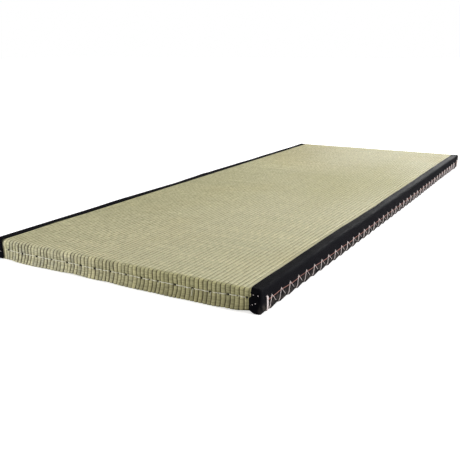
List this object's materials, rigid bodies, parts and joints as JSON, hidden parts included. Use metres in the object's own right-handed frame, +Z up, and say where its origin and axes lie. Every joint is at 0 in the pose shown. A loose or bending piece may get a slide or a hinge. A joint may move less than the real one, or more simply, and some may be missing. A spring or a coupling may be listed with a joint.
{
  "type": "tatami mat",
  "caption": "Firm flat rectangular floor mat faced with ribbed woven rush, its long edges bound in plain dark cloth, to lie on a floor or a slatted bed base.",
  "frame": {"origin": "on the floor under the middle of the mat", "axes": "+Y along the mat's length, +X across it towards the right edge cloth, +Z up"},
  "size_m": [0.8, 2, 0.056],
  "materials": {
    "rush": "dried rush woven in ribs, dull straw green",
    "edge_cloth": "close plain-woven black cotton, slightly sheeny",
    "thread": "twisted pale sewing thread"
  },
  "bodies": {
    "root": {"rush_mat": "rush", "edge_cloth_right": "edge_cloth", "edge_cloth_left": "edge_cloth"}
  },
  "joints": []
}
